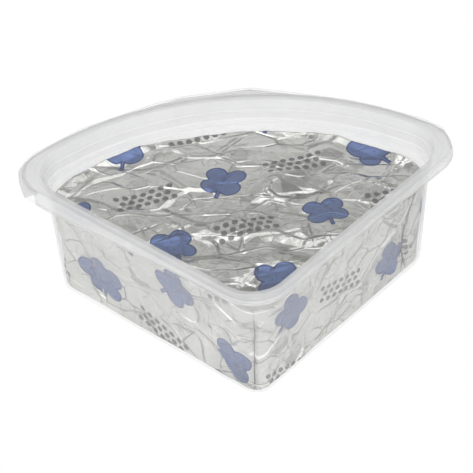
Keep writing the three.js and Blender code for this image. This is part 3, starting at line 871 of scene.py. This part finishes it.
def fold_offset(outline, distance, heights):
    """Depth of the tucked folds, the number of folds passed, and the distance from the nearest one.

    A fold follows a leaning line that may bow along the side. The sheet sinks slowly towards it on one
    side and comes back at once on the other, as where one flap lies over the next. The distance grows
    where a fold fades out, so that its painted shadow line ends there.
    """
    foil = bpy.context.scene.foil_settings
    half = bpy.context.scene.pack_sector.half_angle
    along = np.array([math.sin(half), math.cos(half)])
    depth = np.zeros_like(distance)
    passed = np.zeros_like(distance)
    nearness = np.full_like(distance, FAR_AWAY)
    for fold in FOLDS:
        low, high = fold["low"] * MM, fold["high"] * MM
        rise = np.clip((heights - low) / (high - low), 0.0, 1.0)[:, None]
        bow = fold["bow"] * (2.0 * rise[:, :, None] - 1.0) ** 2 * along
        line = (np.array(fold["place"]) + rise[:, :, None] * np.array(fold["lean"]) + bow) * MM
        away = np.linalg.norm(outline - line, axis=2)
        nearest = np.take_along_axis(distance, np.argmin(away, axis=1)[:, None], axis=1)
        ahead = distance - nearest
        tent = np.where(ahead < 0.0, 1.0 + ahead / FOLD_FLAP, 1.0 - ahead / FOLD_LIP)
        fade = np.sqrt(np.sin(math.pi * rise))
        depth = np.maximum(depth, fade * foil.fold_depth * np.clip(tent, 0.0, 1.0))
        passed += ahead > 0.0
        gone = ahead + np.where(ahead < 0.0, -FOLD_FADE, FOLD_FADE) * np.clip(1.0 - 2.0 * fade, 0.0, 1.0)
        nearness = np.where(np.abs(gone) < np.abs(nearness), gone, nearness)
    return depth, passed, nearness


def wedge_plans(heights):
    """Plans of the wrapped wedge, a gap inside the tub's wall, with its own softer fillets."""
    tub = bpy.context.scene.tub_settings
    foil = bpy.context.scene.foil_settings
    share = (heights / tub.brow_height)[:, None]
    plans = np.array(tub.foot) * (1.0 - share) + np.array(tub.brow) * share - tub.wall - foil.gap
    up = heights / foil.top
    plans[:, 2] = foil.front_low + (foil.front_high - foil.front_low) * up
    plans[:, 3] = foil.back_low + (foil.back_high - foil.back_low) * up
    return plans


# Rows of the foil, and the middles of its top and underside as shares of the arc's radius.
SIDE_ROWS = 50
TOP_ROWS = 104
FLOOR_ROWS = 6
TOP_MIDDLE_SHARE = 0.6
FLOOR_MIDDLE_SHARE = 0.55

# The height below the top that follows the top's edge, and where the side's broad crumple starts.
EDGE_PULL = 14 * MM
CRUMPLE_START = 9.6 * MM

# Shape of the top's rim: the drop of its edge, the hem raised on it at the back, the gathers of the hem
# as height, length and phase, how far the two rind corners sink, and the way from edge to middle.
EDGE_DROP = 1.2 * MM
HEM_HEIGHT = 2.6 * MM
HEM_WIDTH = 4.2 * MM
HEM_GATHERS = ((0.2, 7 * MM, 0.0), (0.12, 3.1 * MM, 2.0))
CORNER_SINK = 3 * MM
EDGE_TO_MIDDLE = 85 * MM


def foil_grid():
    """Points of the foil from under the foot to the middle of the top, and the print's place on it.

    The side is pressed inward by the crumple and the folds. The top draws every outline in towards one
    middle point, and its height is the broad crumple with finer creases on it and a gathered hem.
    """
    foil = bpy.context.scene.foil_settings
    bottom = FOIL_BOX[0][2]
    quarter = np.linspace(0.0, math.pi / 2, 6)
    foot_z = bottom + foil.foot_round * (1.0 - np.cos(quarter[:-1]))
    side_z = np.linspace(bottom + foil.foot_round, foil.top - foil.edge_round, SIDE_ROWS)
    edge_z = foil.top - foil.edge_round * (1.0 - np.sin(quarter[1:]))
    heights = np.concatenate([foot_z, side_z, edge_z])
    inset = np.concatenate([
        foil.foot_round * (1.0 - np.sin(quarter[:-1])),
        np.zeros(SIDE_ROWS),
        foil.edge_round * (1.0 - np.cos(quarter[1:])),
    ])
    outline, outward = sector(wedge_plans(heights) - inset[:, None])
    distance = travelled(outline)
    up = np.broadcast_to(heights[:, None], distance.shape)
    start = SIDES["arc"] // 2 + SIDES["corner"] - 1
    from_corner = distance - distance[:, start:start + 1] - CRUMPLE_START
    broad = crumple(from_corner, up, wave_set(*BROAD_WAVES, foil.seed))
    bent = bend(distance, up, 70 * MM, 3 * MM)
    fine = crumple(*bent, wave_set(*SIDE_WAVES, foil.seed + 7))
    girth = distance.max()
    sharp = creases(*bent, (0.0, 0.0), (girth, foil.top), SIDE_CREASES, foil.seed + 3)
    depth, passed, from_fold = fold_offset(outline, distance, heights)
    settle = smooth(heights, bottom, bottom + 4 * MM)[:, None]
    inward = 0.4 * foil.side_crumple * (1.0 + broad) + depth
    inward += settle * (0.2 * MM * fine + 0.1 * MM - sharp)
    inward = np.clip(inward, 0.0, None)
    side = outline - outward * inward[:, :, None]

    middle = np.array([0.0, TOP_MIDDLE_SHARE * bpy.context.scene.tub_settings.foot[1]])
    share = (np.arange(TOP_ROWS) / TOP_ROWS)[:, None]
    edge = side[-1]
    x = edge[None, :, 0] * (1.0 - share) + middle[0] * share
    y = edge[None, :, 1] * (1.0 - share) + middle[1] * share
    top = np.stack([x, y, top_height(x, y, share, distance[-1])], axis=2)
    lift = (top[:1, :, 2] - foil.top) * smooth(heights, foil.top - EDGE_PULL, foil.top)[:, None]
    side = np.concatenate([side, (up + lift)[:, :, None]], axis=2)
    top = top[1:]
    return side, top, distance, passed, from_fold


def top_height(x, y, share, girth):
    """Height of the top face over its plan: crumple and creases, two sunk rind corners and a raised hem.

    Share is 0 at the edge and 1 in the middle, and girth is the distance round the edge. The fine
    crumple and the creases are deepest towards the point and shallow at the back.
    """
    foil = bpy.context.scene.foil_settings
    broad = crumple(x, y, wave_set(*BROAD_WAVES, foil.seed + 1))
    bent = bend(x, y, 90 * MM, 4 * MM)
    fine = crumple(*bent, wave_set(*TOP_WAVES, foil.seed + 9))
    patch = smooth(crumple(x, y, wave_set(*PATCH_WAVES, foil.seed + 12)), -0.4, 0.8)
    low, high = (-110 * MM, 0.0), (110 * MM, 160 * MM)
    sharp = creases(*bent, low, high, TOP_CREASES, foil.seed + 5)
    settle = 0.45 + 0.55 * np.clip(share * 8.5, 0.0, 1.0)
    lift = foil.top_crumple * (broad - 0.6) / 2
    at_point = 1.0 - smooth(y, 15 * MM, 60 * MM)
    ahead = 1.0 - smooth(y, 60 * MM, 110 * MM)
    detail = (fine * (0.1 + 0.25 * patch) * MM + sharp) * (0.6 + 0.4 * ahead + 0.7 * at_point)
    hem = HEM_HEIGHT * np.clip(1.0 - share * EDGE_TO_MIDDLE / HEM_WIDTH, 0.0, 1.0)
    hem = hem * smooth(y, 70 * MM, 120 * MM) * (0.35 + 0.65 * smooth(np.abs(x), 20 * MM, 60 * MM))
    hem = hem * (1.0 + sum(tall * np.sin(girth / size + phase) for tall, size, phase in HEM_GATHERS))
    corner = (smooth(x, 35 * MM, 80 * MM) + smooth(-x, 70 * MM, 98 * MM)) * smooth(y, 50 * MM, 100 * MM)
    return foil.top - (1.0 - settle) * EDGE_DROP + settle * lift + detail + hem - CORNER_SINK * corner


def floor_rows(ring, bottom):
    """Underside of the wedge: the lowest outline drawn in to its middle, flat."""
    middle = np.array([0.0, FLOOR_MIDDLE_SHARE * bpy.context.scene.tub_settings.foot[1]])
    share = (np.arange(FLOOR_ROWS, 0, -1) / (FLOOR_ROWS + 1))[:, None, None]
    flat = ring[None, :, :2] * (1.0 - share) + middle * share
    return np.concatenate([flat, np.full((FLOOR_ROWS, len(ring), 1), bottom)], axis=2), middle


# How the printed sheet is turned on the top and on each flap of the sides, and its shift between flaps.
TOP_TURN = math.radians(14.0)
PANEL_TURNS = np.radians([18.0, -24.0, 11.0, -16.0, 29.0])
PANEL_SHIFT = (61 * MM, 27 * MM)


def print_map(points, distance, passed, is_side, quads):
    """Place of each face corner on the printed sheet, in metres.

    On the top it is the plan itself, turned. On the sides it is the distance round the wedge and the
    height, and each flap between two folds carries the print at its own turn.
    """
    columns = distance.shape[1]
    corner_x = points[quads, 0]
    corner_y = points[quads, 1]
    top_u = corner_x * math.cos(TOP_TURN) + corner_y * math.sin(TOP_TURN)
    top_v = corner_y * math.cos(TOP_TURN) - corner_x * math.sin(TOP_TURN)
    row = np.clip(quads // columns - FLOOR_ROWS, 0, len(distance) - 1)
    column = quads % columns
    along = distance[row, column]
    closing = column[:, 1] < column[:, 0]
    girth = distance[row, -1] + np.linalg.norm(points[quads[:, :1], :2] - points[quads[:, 1:2], :2], axis=2)
    wrapped = closing[:, None] & (column == 0)
    along = np.where(wrapped, girth, along)
    panel = np.max(passed[row, column], axis=1, where=~wrapped, initial=0.0).astype(int)
    angle = PANEL_TURNS[panel % len(PANEL_TURNS)][:, None]
    height = points[quads, 2]
    side_u = along * np.cos(angle) + height * np.sin(angle) + PANEL_SHIFT[0] * panel[:, None]
    side_v = height * np.cos(angle) - along * np.sin(angle) + PANEL_SHIFT[1] * panel[:, None]
    side = is_side[:, None]
    return np.stack([np.where(side, side_u, top_u), np.where(side, side_v, top_v)], axis=2)


def foil_mesh():
    """Points, faces, print map and distance from the folds of the whole wrapped wedge."""
    side, top, distance, passed, from_fold = foil_grid()
    bottom = FOIL_BOX[0][2]
    under, middle = floor_rows(side[0], bottom)
    skin = np.concatenate([under, side, top])
    rows, columns = skin.shape[:2]
    top_middle = skin[-1].mean(axis=0)
    points = np.concatenate([skin.reshape(-1, 3), [[*middle, bottom]], [top_middle]])
    quads = loop_faces(rows, columns)
    last = rows * columns
    triangles = np.concatenate([
        fan_faces(last, np.arange(columns), False),
        fan_faces(last + 1, (rows - 1) * columns + np.arange(columns), True),
    ])
    face_row = quads[:, 0] // columns
    is_side = face_row < FLOOR_ROWS + len(side) - 3
    quad_map = print_map(points, distance, passed, is_side, quads)
    triangle_map = points[triangles][:, :, :2]
    points[:, :2] += pack_place()
    sheet = np.concatenate([quad_map.reshape(-1, 2), triangle_map.reshape(-1, 2)])
    apart = np.ones(len(points))
    first = FLOOR_ROWS * columns
    apart[first:first + from_fold.size] = from_fold.ravel()
    return points, quads, triangles, sheet, apart


# The film's grid, the middle that its rings close on, and the shares of the way in where it gets slack.
FILM_STATIONS = 288
FILM_RINGS = 44
FILM_MIDDLE = np.array([0.0, 92.0]) * MM
FILM_SLACK_FROM = (0.14, 0.34)


def film_mesh():
    """Closed thin sheet: its cut edge drawn in to the middle in rings, above and below.

    The height is level over the rim and slack over the mouth, where slow crossing sines lift and sink it.
    """
    film = bpy.context.scene.film_settings
    edge = resample(np.concatenate([FILM_EDGE, FILM_EDGE[:1]]), FILM_STATIONS + 1)[:-1]
    share = (np.arange(FILM_RINGS) / FILM_RINGS)[:, None, None]
    flat = edge * (1.0 - share) + FILM_MIDDLE * share
    x, y = flat[..., 0], flat[..., 1]
    over_mouth = smooth(share[..., 0], *FILM_SLACK_FROM)
    sway = np.sin(x / (21 * MM) + 0.7) * np.sin(y / (27 * MM)) + 0.5 * np.sin((x + 1.7 * y) / (13 * MM))
    low, high = FILM_BOX[0][2], FILM_BOX[1][2]
    level = (low + high) / 2 + film.slack * over_mouth * sway
    half = (high - low) / 4
    above = np.concatenate([flat, (level + half)[..., None]], axis=2)
    below = np.concatenate([flat, (level - half)[..., None]], axis=2)
    skin = np.concatenate([below[::-1], above])
    rows, columns = skin.shape[:2]
    ends = [[*FILM_MIDDLE, skin[0, :, 2].mean()], [*FILM_MIDDLE, skin[-1, :, 2].mean()]]
    points = np.concatenate([skin.reshape(-1, 3), ends])
    last = rows * columns
    triangles = np.concatenate([
        fan_faces(last, np.arange(columns), False),
        fan_faces(last + 1, (rows - 1) * columns + np.arange(columns), True),
    ])
    points[:, :2] += pack_place()
    return points, loop_faces(rows, columns), triangles


def settle(piece, node, slot):
    """Tie a piece to the frame: it rides on the root body and stands for its node, whose parts are hidden.
    The slot is not used.
    """
    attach(piece, "root")
    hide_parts(node)


class CHEESE_OT_tub(bpy.types.Operator):
    """Build the translucent tub with its stepped rim, skirt and peel tab"""

    bl_idname = "cheese.tub"
    bl_label = "Tub"

    def execute(self, context):
        piece = add_mesh("tub_shell", *tub_mesh(), plastic_material())
        settle(piece, "tub", "tub_plastic")
        return {"FINISHED"}


class CHEESE_OT_foil_wedge(bpy.types.Operator):
    """Build the wedge in its crumpled, printed foil"""

    bl_idname = "cheese.foil_wedge"
    bl_label = "Foil-wrapped wedge"

    def execute(self, context):
        points, quads, triangles, sheet, apart = foil_mesh()
        piece = add_mesh("foil_wrap", points, quads, triangles, foil_material())
        layer = piece.data.uv_layers.new(name="print")
        layer.data.foreach_set("uv", sheet.astype(np.float32).ravel())
        from_fold = piece.data.attributes.new("from_fold", "FLOAT", "POINT")
        from_fold.data.foreach_set("value", apart.astype(np.float32))
        settle(piece, "foil_wedge", "printed_foil")
        return {"FINISHED"}


class CHEESE_OT_film(bpy.types.Operator):
    """Build the clear film sealed over the rim"""

    bl_idname = "cheese.film"
    bl_label = "Film"

    def execute(self, context):
        piece = add_mesh("lid_sheet", *film_mesh(), film_material())
        settle(piece, "lid_film", "clear_film")
        return {"FINISHED"}


def studio_world(surround):
    """White to the camera and, to everything else, a soft room.

    The room is bright before the pack and patchy grey behind it, darker near the floor, with a paler
    zenith.
    """
    world = bpy.data.worlds.new("studio")
    bpy.context.scene.world = world
    world.use_nodes = True
    graph = Graph(world.node_tree)
    direction = graph.add("ShaderNodeTexCoord").outputs["Generated"]
    part = graph.add("ShaderNodeSeparateXYZ", {"Vector": direction})
    panels = graph.ramp(graph.noise(direction, 3.0, 2.0), 0.4, 0.58)
    back = graph.mix(panels, opaque(surround, 0.34), opaque(surround, 1.25))
    low = graph.ramp(part.outputs["Z"], 0.38, 0.12, 0.0, 0.75)
    back = graph.mix(low, back, opaque(surround, 0.25))
    front = graph.ramp(part.outputs["Y"], 0.2, -0.4)
    room = graph.mix(front, back, grey(1.35))
    zenith = graph.ramp(part.outputs["Z"], 0.9, 0.985)
    room = graph.mix(zenith, room, grey(0.9))
    seen = graph.add("ShaderNodeLightPath").outputs["Is Camera Ray"]
    tint = graph.mix(seen, room, grey(1.0))
    shader = graph.add("ShaderNodeBackground", {"Color": tint, "Strength": 1.0})
    graph.add("ShaderNodeOutputWorld", {"Surface": shader.outputs["Background"]})


def floor_material():
    """Plain floor, evenly white to the camera and softly clouded in what the pack reflects."""
    material, graph = new_material("pale_floor")
    seen = graph.add("ShaderNodeLightPath").outputs["Is Camera Ray"]
    place = graph.add("ShaderNodeTexCoord").outputs["Object"]
    tone = graph.ramp(graph.noise(place, 14.0, 1.0), 0.4, 0.6)
    lit = graph.add("ShaderNodeBsdfDiffuse", {"Color": graph.mix(tone, grey(0.8), grey(0.99))})
    plain = graph.add("ShaderNodeEmission", {"Color": grey(1.0), "Strength": 1.0})
    inputs = {"Fac": seen, 1: lit.outputs["BSDF"], 2: plain.outputs["Emission"]}
    graph.finish(graph.add("ShaderNodeMixShader", inputs).outputs["Shader"])
    return material


# The floor's half width, and the lamps: name, place, size and power.
FLOOR_REACH = 6.0
LAMP_AIM = (0.0, 0.0, 0.04)
LAMPS = (
    ("key", (-0.9, -0.9, 1.1), (0.6, 0.6), 3.4),
    ("strip", (0.12, 0.3, 1.4), (0.5, 0.1), 0.3),
)

# Light crosses many see-through skins on its way through the pack.
SKINS_CROSSED = 48


def add_softbox(name, place, size, power):
    """Large light that faces the pack."""
    lamp = bpy.data.lights.new(name, "AREA")
    lamp.shape = "RECTANGLE"
    lamp.size, lamp.size_y = size
    lamp.energy = power
    light = bpy.data.objects.new(name, lamp)
    light.location = place
    light.rotation_euler = (Vector(LAMP_AIM) - Vector(place)).to_track_quat("-Z", "Y").to_euler()
    bpy.context.scene.collection.objects.link(light)


def add_camera(studio):
    """Camera at the photograph's angle: it looks at the aim from its azimuth and elevation, then rolls."""
    turn, rise, roll = studio.azimuth, studio.elevation, studio.roll
    back = Vector((math.sin(turn) * math.cos(rise), -math.cos(turn) * math.cos(rise), math.sin(rise)))
    level = Vector((0.0, 0.0, 1.0)).cross(back).normalized()
    upright = back.cross(level)
    right = level * math.cos(roll) + upright * math.sin(roll)
    up = upright * math.cos(roll) - level * math.sin(roll)
    lens = bpy.data.cameras.new("camera")
    lens.sensor_width = 36.0
    lens.lens = studio.lens
    lens.clip_end = 20.0
    camera = bpy.data.objects.new("camera", lens)
    camera.matrix_world = Matrix((right, up, back)).transposed().to_4x4()
    camera.location = Vector(studio.aim) + back * studio.distance
    bpy.context.scene.collection.objects.link(camera)
    bpy.context.scene.camera = camera


class CHEESE_OT_studio(bpy.types.Operator):
    """Set the pale floor, the soft light and the camera"""

    bl_idname = "cheese.studio"
    bl_label = "Studio"

    def execute(self, context):
        scene = context.scene
        studio = scene.studio_settings
        floor = bpy.data.meshes.new("floor")
        corners = [(x * FLOOR_REACH, y * FLOOR_REACH, 0) for x, y in ((-1, -1), (1, -1), (1, 1), (-1, 1))]
        floor.from_pydata(corners, [], [(0, 1, 2, 3)])
        floor.materials.append(floor_material())
        ground = bpy.data.objects.new("floor", floor)
        scene.collection.objects.link(ground)
        studio_world(studio.surround)
        for lamp in LAMPS:
            add_softbox(*lamp)
        add_camera(studio)
        scene.view_settings.view_transform = "Standard"
        scene.cycles.transparent_max_bounces = SKINS_CROSSED
        return {"FINISHED"}


class CHEESE_PT_pack(bpy.types.Panel):
    """Panel that lists the pieces and their sizes"""

    bl_idname = "CHEESE_PT_pack"
    bl_label = "Cheese pack"
    bl_space_type = "VIEW_3D"
    bl_region_type = "UI"
    bl_category = "Cheese"

    def draw(self, context):
        scene = context.scene
        for operator in OPERATORS:
            self.layout.operator(operator.bl_idname)
        for group in SETTINGS:
            column = self.layout.column()
            for name in SETTINGS[group].__annotations__:
                column.prop(getattr(scene, group), name)


SETTINGS = {
    "pack_sector": PackSector,
    "tub_settings": TubSettings,
    "foil_settings": FoilSettings,
    "film_settings": FilmSettings,
    "studio_settings": StudioSettings,
}
OPERATORS = [CHEESE_OT_studio, CHEESE_OT_tub, CHEESE_OT_foil_wedge, CHEESE_OT_film]


def register():
    """Register the settings, the operators and the panel."""
    for group, settings in SETTINGS.items():
        bpy.utils.register_class(settings)
        setattr(bpy.types.Scene, group, PointerProperty(type=settings))
    for operator in OPERATORS:
        bpy.utils.register_class(operator)
    bpy.utils.register_class(CHEESE_PT_pack)


def unregister():
    """Take the panel, the operators and the settings away again."""
    bpy.utils.unregister_class(CHEESE_PT_pack)
    for operator in reversed(OPERATORS):
        bpy.utils.unregister_class(operator)
    for group, settings in SETTINGS.items():
        delattr(bpy.types.Scene, group)
        bpy.utils.unregister_class(settings)


def main():
    """Build the studio and the three pieces."""
    register()
    bpy.ops.cheese.studio()
    bpy.ops.cheese.tub()
    bpy.ops.cheese.foil_wedge()
    bpy.ops.cheese.film()


if __name__ == "__main__":
    main()
